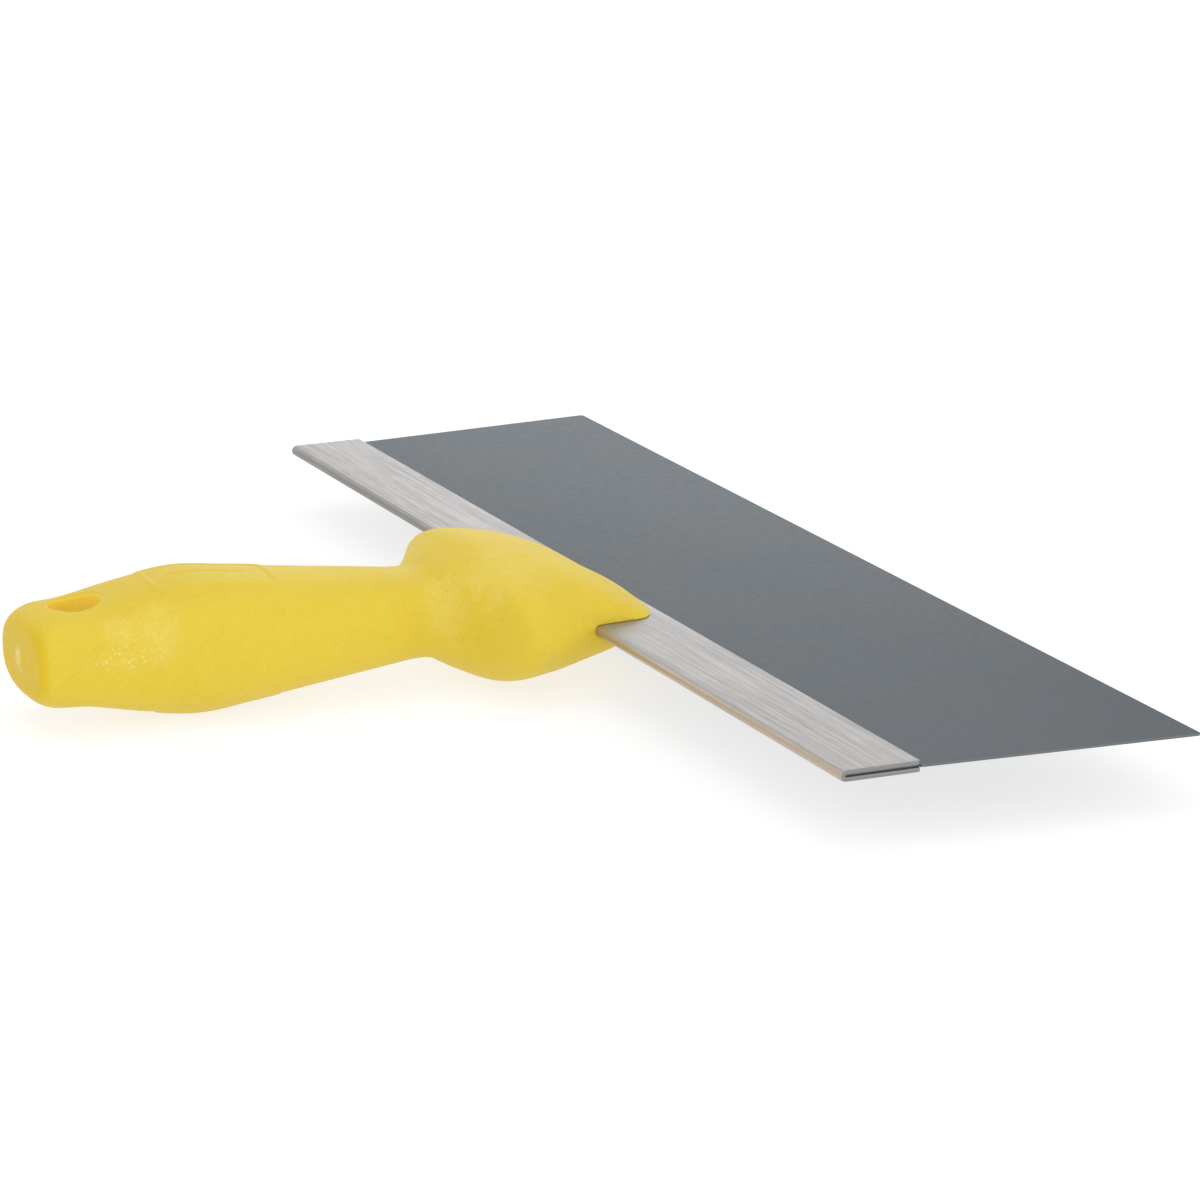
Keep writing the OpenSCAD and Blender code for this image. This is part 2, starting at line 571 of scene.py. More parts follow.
@dataclass
class Handle:
    """The moulded handle: one closed grid over the loft, split by the slot that the channel lies in."""

    shape: HandleShape = field(default_factory=HandleShape)
    panel: ReliefPanel = field(default_factory=ReliefPanel)
    hole: HangHole = field(default_factory=HangHole)
    gate: GateMark = field(default_factory=GateMark)
    row_step: float = 0.5
    panel_row_step: float = 0.3
    front_length: float = 3.4
    front_row_step: float = 0.15
    butt_rows: int = 15
    fold_rows: int = 7
    front_edge_rows: int = 5
    columns: int = 120
    edge_columns: int = 4
    fine_columns: int = 721
    lip_edge: float = 0.22
    lip_edge_limit: float = 0.4
    front_edge: float = 0.35
    panel_floor: float = 0.4
    upper_z: float = 1.0
    closed: float = 1e-9
    points: list[np.ndarray] = field(default_factory=list)
    faces: Faces = field(default_factory=list)
    count: int = 0

    def build(self) -> bpy.types.Object:
        """Builds the handle as one closed mesh.

        Returns:
            The finished object, without a material.
        """
        rows = self._rows()
        slot = self._slot_half_height(rows)
        grid = self._upper_grid(rows, slot)
        upper, lower = self._number_halves(grid, slot)
        self._skin(upper, lower, rows, grid)
        self._slot_walls(upper, lower, slot)
        self._caps(upper, lower)
        piece = make_object("handle_body", np.concatenate(self.points), self.faces)
        apply_pegs(piece, self._pockets(), Cut.REMOVE)
        apply_pegs(piece, self._plugs(), Cut.ADD)
        smooth(piece)
        return piece

    def _rows(self) -> np.ndarray:
        """Places of the grid's rows, with one on each edge of the shape.

        Returns:
            The places, from the butt to the lips' front edges.
        """
        butt_turn = np.linspace(0, QUARTER, self.butt_rows)
        butt = self.shape.butt_y + self.shape.butt_round_thickness * (1 - np.cos(butt_turn))
        body = self._body_rows(butt[-1])
        fold = CHANNEL.half_thickness * (1 - np.cos(np.linspace(0, QUARTER, self.fold_rows)))[1:]
        lip_end = self.shape.front_y - self.front_edge
        turn_in = self.shape.front_y - self.front_length
        lip = self._even(fold[-1], turn_in, self.row_step)
        nose = self._even(turn_in, lip_end, self.front_row_step)
        edge = lip_end + self.front_edge * np.sin(np.linspace(0, QUARTER, self.front_edge_rows))[1:]
        return np.concatenate([butt, body, fold, lip, nose, edge])

    @staticmethod
    def _even(low: float, high: float, step: float) -> np.ndarray:
        """Even places after one end, up to the other, about a step apart."""
        return np.linspace(low, high, int((high - low) / step) + 1)[1:]

    def _body_rows(self, start: float) -> np.ndarray:
        """Rows from a start to the channel's back edge, closer together under the panel.

        Args:
            start: Where the rows start, which is left out.

        Returns:
            The places of the rows.
        """
        panel_start = self.panel.y - self.panel.half_length - self.panel.margin
        panel_end = self.panel.y + self.panel.half_length + self.panel.margin
        before = self._even(start, panel_start, self.row_step)
        under = self._even(panel_start, panel_end, self.panel_row_step)
        return np.concatenate([before, under, self._even(panel_end, 0.0, self.row_step)])

    @staticmethod
    def _slot_half_height(rows: np.ndarray) -> np.ndarray:
        """Half height of the slot at each row: none behind the channel, then its fold, then its legs.

        Args:
            rows: Places of the rows.

        Returns:
            The half heights.
        """
        radius = CHANNEL.half_thickness
        behind = radius - np.clip(rows, 0.0, radius)
        return np.sqrt(np.maximum(radius**2 - behind**2, 0.0))

    def _upper_grid(self, rows: np.ndarray, slot: np.ndarray) -> np.ndarray:
        """Points of the upper half, from the right side over the top to the left side.

        Args:
            rows: Places of the rows.
            slot: Half height of the slot at each row.

        Returns:
            An array of rows by columns by three.
        """
        width, thickness, square = self.shape.at(rows)
        front = np.clip((rows - (self.shape.front_y - self.front_edge)) / self.front_edge, 0.0, 1.0)
        inset = self.front_edge * (1 - np.sqrt(1 - front**2))
        grid = np.zeros((len(rows), self.columns + 2 * self.edge_columns, 3))
        for r, y in enumerate(rows):
            section = Section(y, width[r] - inset[r], thickness[r] - inset[r], square[r])
            side = self._side_points(section, slot[r])
            over = self._over_points(section, slot[r] + self._edge_radius(section, slot[r]))
            left = side[::-1] * np.array([-1.0, 1.0])
            outline = np.concatenate([side, over, left])
            lift = self.panel.height(outline[:, 0], np.full(len(outline), y))
            high = outline[:, 1] > self.panel_floor * section.half_thickness
            grid[r, :, 0] = outline[:, 0]
            grid[r, :, 1] = y + self.shape.bow(outline[:, 0], y)
            grid[r, :, 2] = outline[:, 1] + np.where(high, lift, 0.0)
        return grid

    def _edge_radius(self, section: Section, slot: float) -> float:
        """Radius of the lip's lower edge, less where the lip is thin."""
        return min(self.lip_edge, self.lip_edge_limit * (section.half_thickness - slot))

    def _side_points(self, section: Section, slot: float) -> np.ndarray:
        """Points of the rounded edge between the slot and the side, on the right.

        Args:
            section: The row's section.
            slot: Half height of the slot there.

        Returns:
            Points in X and Z, from the slot upwards.
        """
        radius = self._edge_radius(section, slot)
        turn = np.linspace(QUARTER, 0, self.edge_columns + 1)[:-1]
        z = slot + radius * (1 - np.sin(turn))
        on_edge = section.side_at(slot + radius) - radius * (1 - np.cos(turn))
        share = slot / CHANNEL.half_thickness
        return np.stack([(1 - share) * section.side_at(z) + share * on_edge, z], axis=1)

    def _over_points(self, section: Section, low: float) -> np.ndarray:
        """Evenly spaced points over the section, from one side to the other.

        Args:
            section: The row's section.
            low: The height at which the points start and end.

        Returns:
            Points in X and Z.
        """
        power = section.squareness
        start = math.asin(min((low / section.half_thickness) ** (power / 2), 1.0))
        angle = np.linspace(start, math.pi - start, self.fine_columns)
        x = section.half_width * np.sign(np.cos(angle)) * np.abs(np.cos(angle)) ** (2 / power)
        z = section.half_thickness * np.abs(np.sin(angle)) ** (2 / power)
        length = np.concatenate([[0.0], np.cumsum(np.hypot(np.diff(x), np.diff(z)))])
        even = np.linspace(0, length[-1], self.columns)
        return np.stack([np.interp(even, length, x), np.interp(even, length, z)], axis=1)

    def _add(self, points: np.ndarray) -> np.ndarray:
        """Adds points to the mesh.

        Args:
            points: Points in millimetres, in an array of any shape.

        Returns:
            Their numbers, in the points' own shape.
        """
        flat = points.reshape(-1, 3)
        numbers = np.arange(self.count, self.count + len(flat)).reshape(points.shape[:-1])
        self.points.append(flat)
        self.count += len(flat)
        return numbers

    def _number_halves(self, grid: np.ndarray, slot: np.ndarray) -> tuple[np.ndarray, np.ndarray]:
        """Adds both halves, which share their side points behind the slot.

        Args:
            grid: Points of the upper half.
            slot: Half height of the slot at each row.

        Returns:
            The point numbers of the upper and of the lower half.
        """
        upper = self._add(grid)
        lower = self._add(grid * FLIP)
        shared = slot <= self.closed
        lower[shared, 0] = upper[shared, 0]
        lower[shared, -1] = upper[shared, -1]
        return upper, lower

    def _skin(self, upper: np.ndarray, lower: np.ndarray, rows: np.ndarray, grid: np.ndarray) -> None:
        """Adds the skin of both halves, with the hang hole's patches and wall in it.

        Args:
            upper: Point numbers of the upper half.
            lower: Point numbers of the lower half.
            rows: Places of the rows.
            grid: Points of the upper half.
        """
        r0, r1, c0, c1 = self._hole_block(rows, grid)
        for half in (upper, lower):
            for r in range(half.shape[0] - 1):
                for c in range(half.shape[1] - 1):
                    if r0 <= r < r1 and c0 <= c < c1:
                        continue
                    self.faces.append((half[r, c], half[r + 1, c], half[r + 1, c + 1], half[r, c + 1]))
        border = (
            [(r0, c) for c in range(c0, c1)]
            + [(r, c1) for r in range(r0, r1)]
            + [(r1, c) for c in range(c1, c0, -1)]
            + [(r, c0) for r in range(r1, r0, -1)]
        )
        rings = self._hole_rings(np.array([grid[r, c] for r, c in border]))
        top = [np.array([upper[r, c] for r, c in border])]
        top += [self._add(ring) for ring in rings]
        bottom = [np.array([lower[r, c] for r, c in border])]
        bottom += [self._add(ring * FLIP) for ring in rings]
        shares = np.linspace(1, -1, self.hole.wall_rings + 2)[1:-1]
        wall = [self._add(rings[-1] * np.array([1.0, 1.0, share])) for share in shares]
        self._bands(top + wall)
        self._bands(bottom)
        self._bands([wall[-1], bottom[-1]])

    def _hole_block(self, rows: np.ndarray, grid: np.ndarray) -> tuple[int, int, int, int]:
        """Finds the block of the grid that the hang hole's patch takes up.

        Args:
            rows: Places of the rows.
            grid: Points of the upper half.

        Returns:
            Its first and last row, and its first and last column.
        """
        near = np.nonzero(np.abs(rows - self.hole.y) <= self.hole.patch)[0]
        middle = grid[int(np.argmin(np.abs(rows - self.hole.y)))]
        inside = (np.abs(middle[:, 0]) <= self.hole.patch) & (middle[:, 2] > self.upper_z)
        across = np.nonzero(inside)[0]
        return int(near[0]), int(near[-1]), int(across[0]), int(across[-1])

    def _hole_rings(self, around: np.ndarray) -> list[np.ndarray]:
        """Rings from the block's border in to the rim, and over the rounded rim to the bore's wall.

        Args:
            around: Points of the border.

        Returns:
            The rings on the upper face, the border left out.
        """
        hole = self.hole
        middle = np.array([0.0, hole.y])
        angle = np.arctan2(around[:, 1] - middle[1], around[:, 0])
        way = np.stack([np.cos(angle), np.sin(angle)], axis=1)
        outer = hole.radius + hole.rim
        rings = []
        for k in range(1, hole.patch_rings + 1):
            s = k / hole.patch_rings
            xy = around[:, :2] * (1 - s) + (middle + outer * way) * s
            rings.append(np.column_stack([xy, self.shape.top(xy[:, 0], xy[:, 1])]))
        for k in range(1, hole.rim_rings + 1):
            turn = QUARTER * k / hole.rim_rings
            xy = middle + (outer - hole.rim * math.sin(turn)) * way
            drop = hole.rim * (1 - math.cos(turn))
            rings.append(np.column_stack([xy, self.shape.top(xy[:, 0], xy[:, 1]) - drop]))
        return rings

    def _bands(self, rings: Sequence[np.ndarray]) -> None:
        """Joins rings of the same length, each to the next, with bands of faces.

        Args:
            rings: The rings' point numbers.
        """
        for first, second in zip(rings, rings[1:]):
            n = len(first)
            for k in range(n):
                self.faces.append((first[k], first[(k + 1) % n], second[(k + 1) % n], second[k]))

    def _slot_walls(self, upper: np.ndarray, lower: np.ndarray, slot: np.ndarray) -> None:
        """Adds the two walls of the slot, which meet along the back of the fold.

        Args:
            upper: Point numbers of the upper half.
            lower: Point numbers of the lower half.
            slot: Half height of the slot at each row.
        """
        start = int(np.nonzero(slot > self.closed)[0][0]) - 1
        for half in (upper, lower):
            for r in range(start, half.shape[0] - 1):
                self.faces.append((half[r, 0], half[r, -1], half[r + 1, -1], half[r + 1, 0]))

    def _caps(self, upper: np.ndarray, lower: np.ndarray) -> None:
        """Closes the front of each lip, and the butt with its gate mark.

        Args:
            upper: Point numbers of the upper half.
            lower: Point numbers of the lower half.
        """
        self.faces.append(tuple(upper[-1]))
        self.faces.append(tuple(lower[-1]))
        border = np.concatenate([upper[0], lower[0, 1:-1][::-1]])
        around = np.concatenate(self.points)[border]
        angle = np.arctan2(around[:, 2], around[:, 0])
        way = np.stack([np.cos(angle), np.zeros(len(angle)), np.sin(angle)], axis=1) * self.gate.radius
        shares = [k / self.gate.border_rings for k in range(1, self.gate.border_rings + 1)]
        rings = [(around * (1 - share) + way * share, 0.0) for share in shares]
        rings += [(way * share, height) for share, height in self.gate.profile()]
        numbers = [border]
        for ring, height in rings:
            ring[:, 1] = self.shape.butt_y + self.shape.bow(ring[:, 0], self.shape.butt_y) - height
            numbers.append(self._add(ring))
        self._bands(numbers)
        self.faces.append(tuple(numbers[-1]))

    @staticmethod
    def _pockets() -> list[Peg]:
        """The pockets that clear the rivets' heads."""
        half = CHANNEL.half_thickness + RIVET.head_height + RIVET.clearance
        return [Peg(x, RIVET_Y, RIVET.head_radius + RIVET.clearance, half) for x in RIVET.rivet_x()]

    @staticmethod
    def _plugs() -> list[Peg]:
        """The plastic that fills the lock holes and joins the two lips."""
        half = CHANNEL.half_thickness + RIVET.overlap
        return [Peg(x, RIVET_Y, RIVET.lock_radius - RIVET.clearance, half) for x in RIVET.lock_x()]


# ---------------------------------------------------------------- channel


@dataclass
class BackingChannel:
    """The folded channel: a U swept along X, with rounded corners and broken edges."""

    size: ChannelSize = CHANNEL
    front_radius: float = 0.16
    front_steps: int = 4
    fold_steps: int = 17
    slot_steps: int = 9
    corner_radius: float = 0.6
    corner_flatness: float = 0.55
    corner_steps: int = 6
    end_edge: float = 0.14
    end_steps: int = 4
    end_turn: Span = (78.0, 0.13)
    end_stretch: float = 3.0
    middle_steps: int = 9

    def build(self) -> bpy.types.Object:
        """Builds the channel as one closed mesh.

        Returns:
            The finished object, without a material.
        """
        outline, normals = self._outline()
        stations = self._stations()
        points = []
        for x, inset, edge in stations:
            moved = outline - normals * edge
            moved[:, 0] = inset + moved[:, 0] * (self.size.depth - 2 * inset) / self.size.depth
            points.append(np.column_stack([np.full(len(outline), x), moved]))
        faces = swept_faces(len(outline), len(stations))
        piece = make_object("channel_strip", np.concatenate(points), faces)
        apply_pegs(piece, fastening_holes(self.size.half_thickness + RIVET.overlap), Cut.REMOVE)
        smooth(piece)
        return piece

    def _outline(self) -> tuple[np.ndarray, np.ndarray]:
        """Draws the U in Y and Z, once around.

        Returns:
            Its points, and their outward directions.
        """
        size, r = self.size, self.front_radius
        points: list[Span] = []
        normals: list[Span] = []

        def arc(centre: Span, radius: float, turn: Span, steps: int, out: float = 1.0) -> None:
            """Adds the points of an arc.

            Args:
                centre: Its centre.
                radius: Its radius.
                turn: The angles at which it starts and ends, in degrees.
                steps: How many points it has.
                out: 1 where the metal lies within the arc, -1 where it lies outside.
            """
            for a in np.linspace(math.radians(turn[0]), math.radians(turn[1]), steps):
                points.append((centre[0] + radius * math.cos(a), centre[1] + radius * math.sin(a)))
                normals.append((out * math.cos(a), out * math.sin(a)))

        tip = size.depth - r
        arc((tip, size.half_thickness - r), r, (0, 90), self.front_steps)
        arc((size.half_thickness, 0), size.half_thickness, (90, 270), self.fold_steps)
        arc((tip, r - size.half_thickness), r, (270, 360), self.front_steps)
        arc((tip, -size.slot_half - r), r, (0, 90), self.front_steps)
        arc((size.leg + size.slot_half, 0), size.slot_half, (270, 90), self.slot_steps, -1.0)
        arc((tip, size.slot_half + r), r, (270, 360), self.front_steps)
        return np.array(points), np.array(normals)

    def _stations(self) -> list[Place]:
        """Works out the places along X where the outline stands.

        A corner's arc has turned by the first number of end_turn, in degrees, where the end's edge starts,
        and over the edge it goes on by the second number's share of a quarter turn.

        Returns:
            For each, its X, how far the corners are pulled in and how far the end's edges are.
        """
        half, radius, edge = self.size.half_length, self.corner_radius, self.end_edge
        reach = self.corner_flatness * radius
        first, share = self.end_turn
        plain = half - self.end_stretch * radius
        right: list[Place] = [(plain, 0.0, 0.0)]
        for turn in np.linspace(0, QUARTER, self.corner_steps + 1)[:-1]:
            x = half - radius + (radius - edge) * math.sin(turn)
            right.append((x, reach * (1 - math.cos(turn)), 0.0))
        for turn in np.linspace(0, QUARTER, self.end_steps):
            inset = reach * (1 - math.cos(math.radians(first) + turn * share))
            right.append((half - edge + edge * math.sin(turn), inset, edge * (1 - math.cos(turn))))
        between = np.linspace(-plain, plain, self.middle_steps)[1:-1]
        left = [(-x, inset, pulled) for x, inset, pulled in reversed(right)]
        return left + [(x, 0.0, 0.0) for x in between] + right


# ---------------------------------------------------------------- blade


@dataclass
class Blade:
    """The sheet blade: a thin plate with flared ends, broken edges and rounded front corners."""

    reach: float = 77.2
    half_edge: float = 152.4
    half_thickness: float = 0.25
    back_y: float = 1.4
    back_inset: float = 0.7
    corner_radius: float = 0.8
    corner_steps: int = 9
    broken_edge: float = 0.07
    edge_steps: int = 3
    hole_reach: float = 1.0

    def build(self) -> bpy.types.Object:
        """Builds the blade as one closed mesh.

        Returns:
            The finished object, without a material.
        """
        outline = self._outline()
        normals = self._normals(outline)
        turns = np.linspace(0, QUARTER, self.edge_steps + 1)
        edge, half = self.broken_edge, self.half_thickness
        upper = [(edge * (1 - math.cos(t)), half - edge * (1 - math.sin(t))) for t in turns]
        levels = [(inset, -z) for inset, z in reversed(upper)] + upper
        points = [at_height(outline - normals * inset, z) for inset, z in levels]
        piece = make_object("blade_sheet", np.concatenate(points), swept_faces(len(outline), len(levels)))
        apply_pegs(piece, fastening_holes(self.hole_reach), Cut.REMOVE)
        smooth(piece)
        return piece

    def _outline(self) -> np.ndarray:
        """Draws the sheet in X and Y, once around.

        Returns:
            Its corners, anticlockwise.
        """
        flare = self.half_edge - CHANNEL.half_length
        lean = math.atan2(flare, self.reach - CHANNEL.depth)
        r = self.corner_radius
        arc_x = self.half_edge - r * (1 + math.sin(lean)) / math.cos(lean)
        turns = np.linspace(-lean, QUARTER, self.corner_steps)
        back_x = CHANNEL.half_length - self.back_inset
        right = [(back_x, self.back_y), (back_x, CHANNEL.depth), (CHANNEL.half_length, CHANNEL.depth)]
        right += [(arc_x + r * math.cos(a), self.reach - r + r * math.sin(a)) for a in turns]
        return np.array(right + [(-x, y) for x, y in reversed(right)])

    @staticmethod
    def _normals(outline: np.ndarray) -> np.ndarray:
        """Outward directions at an outline's corners, long enough to keep an inset even.

        Args:
            outline: Corners that run anticlockwise.

        Returns:
            One direction for each corner.
        """

        def outward(side: np.ndarray) -> np.ndarray:
            """Directions of length one, at right angles to the sides."""
            return np.column_stack([side[:, 1], -side[:, 0]]) / np.linalg.norm(side, axis=1)[:, None]

        before = outward(outline - np.roll(outline, 1, axis=0))
        total = before + outward(np.roll(outline, -1, axis=0) - outline)
        return 2 * total / np.sum(total**2, axis=1)[:, None]


# ---------------------------------------------------------------- nodes


class Socket(Enum):
    """The kinds of socket that the script's own node trees have."""

    NUMBER = "NodeSocketFloat"
    COUNT = "NodeSocketInt"
    VECTOR = "NodeSocketVector"
    OBJECT = "NodeSocketObject"
    MATERIAL = "NodeSocketMaterial"
    GEOMETRY = "NodeSocketGeometry"


class NodeBuilder:
    """Adds nodes to a tree and joins them."""

    def __init__(self, tree: bpy.types.NodeTree) -> None:
        """Keeps the tree that nodes are added to."""
        self.tree = tree

    def sockets(self, side: str, kinds: dict[str, Socket]) -> dict[str, str]:
        """Gives the tree named inputs or outputs.

        Args:
            side: INPUT or OUTPUT.
            kinds: The kind of each socket, by name.

        Returns:
            The identifier of each socket, by name.
        """
        made = {}
        for name, kind in kinds.items():
            made[name] = self.tree.interface.new_socket(name, in_out=side, socket_type=kind.value).identifier
        return made

    def add(self, kind: str, **inputs: object) -> bpy.types.Node:
        """Adds a node and sets its inputs.

        Args:
            kind: The node's type.
            inputs: For each input, by name with underscores for spaces, a value or an output to join to it.

        Returns:
            The new node.
        """
        node = self.tree.nodes.new(kind)
        for name, value in inputs.items():
            self._feed(node.inputs[name.replace("_", " ")], value)
        return node

    def join(self, source: bpy.types.NodeSocket, target: bpy.types.NodeSocket) -> None:
        """Joins an output to an input."""
        self.tree.links.new(source, target)

    def _feed(self, socket: bpy.types.NodeSocket, value: object) -> None:
        """Joins an output to an input, or sets the input to a plain value.

        Args:
            socket: The input.
            value: An output or a value.
        """
        if isinstance(value, bpy.types.NodeSocket):
            self.join(value, socket)
        else:
            socket.default_value = value

    def math(self, operation: str, *values: object) -> bpy.types.NodeSocket:
        """Adds a Math node.

        Args:
            operation: What it does.
            values: Its inputs in order, each a number or an output.

        Returns:
            The node's output.
        """
        node = self.tree.nodes.new("ShaderNodeMath")
        node.operation = operation
        for socket, value in zip(node.inputs, values):
            self._feed(socket, value)
        return node.outputs["Value"]

    def vector(self, operation: str, *values: bpy.types.NodeSocket) -> bpy.types.Node:
        """Adds a Vector Math node.

        Args:
            operation: What it does.
            values: Its inputs in order.

        Returns:
            The node.
        """
        node = self.tree.nodes.new("ShaderNodeVectorMath")
        node.operation = operation
        for socket, value in zip(node.inputs, values):
            self.join(value, socket)
        return node

    def weigh(self, first: object, second: object, share: float) -> bpy.types.NodeSocket:
        """Adds two values by weight.

        Args:
            first: An output.
            second: An output.
            share: The first one's weight. The second one has the rest.

        Returns:
            The sum's output.
        """
        rest = self.math("MULTIPLY", second, 1.0 - share)
        return self.math("ADD", self.math("MULTIPLY", first, share), rest)

    def noise(self, vector: object, scale: object, detail: float, rough: float = 0.5) -> bpy.types.NodeSocket:
        """Adds a Noise Texture.

        Args:
            vector: The coordinates.
            scale: Its scale, a number or an output.
            detail: How many finer layers it has.
            rough: How strong the finer layers are.

        Returns:
            The value's output.
        """
        node = self.add("ShaderNodeTexNoise", Vector=vector, Scale=scale, Detail=detail, Roughness=rough)
        return node.outputs[0]

    def mix(self, share: object, first: object, second: object, blend: str = "MIX") -> bpy.types.NodeSocket:
        """Adds a colour Mix node.

        Args:
            share: How much of the second colour, a number or an output.
            first: A colour or an output.
            second: A colour or an output.
            blend: The blend type.

        Returns:
            The mixed colour's output.
        """
        node = self.tree.nodes.new("ShaderNodeMix")
        node.data_type, node.blend_type = "RGBA", blend
        self._feed(node.inputs[0], share)
        for index, value in ((6, first), (7, second)):
            is_colour = isinstance(value, tuple)
            self._feed(node.inputs[index], (*value, 1.0) if is_colour else value)
        return node.outputs[2]

    def shade(self, colour: object, amount: bpy.types.NodeSocket) -> bpy.types.NodeSocket:
        """Multiplies a colour by a value.

        Args:
            colour: A colour or an output.
            amount: The value's output.

        Returns:
            The shaded colour's output.
        """
        grey = self.add("ShaderNodeCombineColor", Red=amount, Green=amount, Blue=amount)
        return self.mix(1.0, colour, grey.outputs["Color"], "MULTIPLY")

    def spread(self, value: bpy.types.NodeSocket, span: Span, to: Span = (0.0, 1.0)) -> bpy.types.NodeSocket:
        """Maps a value from one range to another, smoothly and held within it.

        Args:
            value: The output to map.
            span: The range's start and end.
            to: The results at the start and at the end.

        Returns:
            The mapped value's output.
        """
        node = self.add("ShaderNodeMapRange", Value=value)
        node.interpolation_type = "SMOOTHSTEP"
        for name, number in zip(("From Min", "From Max", "To Min", "To Max"), (*span, *to)):
            node.inputs[name].default_value = number
        return node.outputs["Result"]


# ---------------------------------------------------------------- rivets


@dataclass
class Rivets:
    """The three hidden rivets, placed along the channel by Geometry Nodes."""

    size: RivetSize = RIVET
    sides: int = 48
    head_edge: float = 0.25
    edge_steps: int = 4

    def build(self, material: bpy.types.Material) -> bpy.types.Object:
        """Builds all three rivets as one plain mesh.

        Args:
            material: The finish that the tree sets.

        Returns:
            The finished object.
        """
        pattern = self._pattern()
        piece = make_object("rivet_row", np.array([(0.0, 0.0, 0.0)]), [])
        tree, sockets = self._tree()
        modifier = piece.modifiers.new("rivets", "NODES")
        modifier.node_group = tree
        modifier[sockets["Rivet"]] = pattern
        modifier[sockets["Count"]] = len(self.size.rivet_x())
        modifier[sockets["Pitch"]] = self.size.pitch * MM
        modifier[sockets["Start"]] = AXIS.point(self.size.rivet_x()[0], RIVET_Y, 0.0)
        modifier[sockets["Finish"]] = material
        settle(piece)
        discard(pattern)
        bpy.data.node_groups.remove(tree)
        smooth(piece)
        return piece

    def _pattern(self) -> bpy.types.Object:
        """Turns one rivet around the frame's own origin.

        Returns:
            A scratch object.
        """
        half = CHANNEL.half_thickness
        top, head, edge = half + self.size.head_height, self.size.head_radius, self.head_edge
        upper = [(self.size.shank_radius, 0.0), (self.size.shank_radius, half), (head, half)]
        for turn in np.linspace(0, QUARTER, self.edge_steps):
            upper.append((head - edge * (1 - math.cos(turn)), top - edge * (1 - math.sin(turn))))
        profile = [(radius, -z) for radius, z in reversed(upper[1:])] + upper
        points = [at_height(circle(radius, self.sides), z) for radius, z in profile]
        faces = swept_faces(self.sides, len(profile))
        pattern = make_object("rivet_pattern", np.concatenate(points), faces)
        pattern.data.transform(Matrix.Translation(-AXIS.point(0.0, 0.0, 0.0)))
        return pattern

    @staticmethod
    def _tree() -> tuple[bpy.types.NodeTree, dict[str, str]]:
        """Makes the tree that lays rivets in a row.

        Returns:
            The tree, and the identifier of each named input.
        """
        tree = bpy.data.node_groups.new("rivet_row", "GeometryNodeTree")
        build = NodeBuilder(tree)
        inputs = {
            "Geometry": Socket.GEOMETRY,
            "Rivet": Socket.OBJECT,
            "Count": Socket.COUNT,
            "Pitch": Socket.NUMBER,
            "Start": Socket.VECTOR,
            "Finish": Socket.MATERIAL,
        }
        names = build.sockets("INPUT", inputs)
        build.sockets("OUTPUT", {"Geometry": Socket.GEOMETRY})
        given = build.add("NodeGroupInput")
        step = build.add("ShaderNodeCombineXYZ", X=given.outputs["Pitch"])
        line = build.add("GeometryNodeMeshLine", Count=given.outputs["Count"])
        line.mode, line.count_mode = "OFFSET", "TOTAL"
        build.join(given.outputs["Start"], line.inputs["Start Location"])
        build.join(step.outputs["Vector"], line.inputs["Offset"])
        shape = build.add("GeometryNodeObjectInfo", Object=given.outputs["Rivet"])
        placed = build.add("GeometryNodeInstanceOnPoints", Points=line.outputs["Mesh"])
        build.join(shape.outputs["Geometry"], placed.inputs["Instance"])
        real = build.add("GeometryNodeRealizeInstances", Geometry=placed.outputs["Instances"])
        painted = build.add("GeometryNodeSetMaterial", Geometry=real.outputs["Geometry"])
        build.join(given.outputs["Finish"], painted.inputs["Material"])
        build.add("NodeGroupOutput", Geometry=painted.outputs["Geometry"])
        return tree, names


# ---------------------------------------------------------------- shared shader groups


class GroupName(Enum):
    """The shader node groups that several finishes share."""

    MOTTLE = "cloudy_mottle"
    STREAKS = "long_streaks"
    SPECKS = "clustered_specks"


